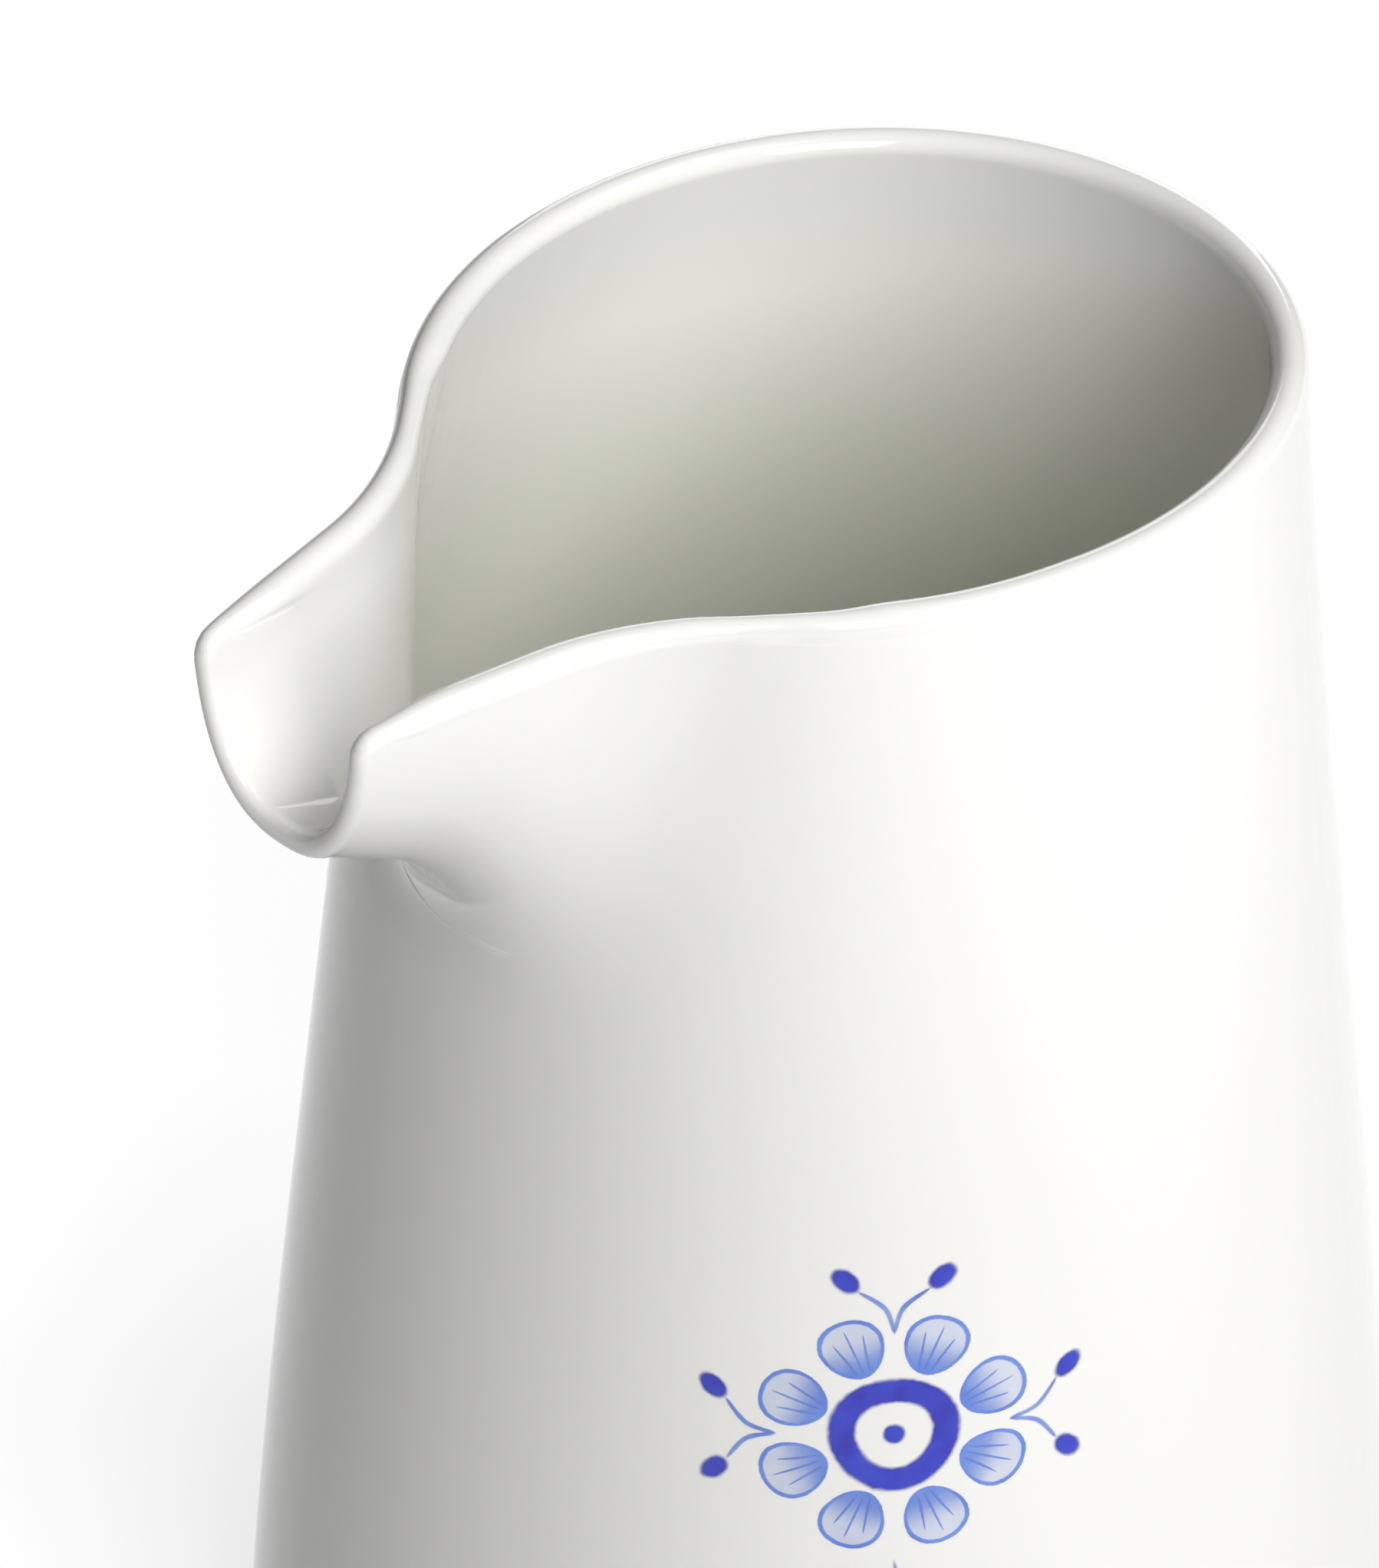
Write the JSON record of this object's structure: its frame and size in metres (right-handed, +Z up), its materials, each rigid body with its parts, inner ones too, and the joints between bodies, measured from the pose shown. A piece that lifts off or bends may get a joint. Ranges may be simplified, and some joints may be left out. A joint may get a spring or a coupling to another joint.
{
  "type": "cream jug",
  "caption": "Small handle-less glazed porcelain cream jug with a wide pulled pouring spout, a flared body, a bare foot ring and an underglaze cobalt flower.",
  "frame": {"origin": "centre of the foot ring's underside, on the body's turning axis, in the plane the jug stands on", "axes": "+Z up along the body's turning axis; -Y towards the spout's lip; +X to the right-hand side of someone who looks along +Y, from in front of the spout"},
  "size_m": [0.085, 0.0923, 0.125],
  "materials": {
    "glazed_porcelain": "clear glossy glaze over white porcelain",
    "bare_biscuit": "unglazed fired porcelain, matt and slightly rough",
    "pale_cobalt_wash": "thin cobalt wash under clear gloss glaze",
    "mid_cobalt": "cobalt brush line under clear gloss glaze",
    "dark_cobalt": "dense cobalt under clear gloss glaze"
  },
  "bodies": {
    "root": {"body_wall": "glazed_porcelain", "base_bowl": "glazed_porcelain", "pouring_spout": "glazed_porcelain", "spout_seam": "glazed_porcelain", "foot_ring": "bare_biscuit", "petal_wash": "pale_cobalt_wash", "flower_centre": "dark_cobalt", "stem_stroke": "mid_cobalt", "leaf_pair": "mid_cobalt", "bud_twigs": "mid_cobalt", "twig_buds": "dark_cobalt"}
  },
  "joints": []
}
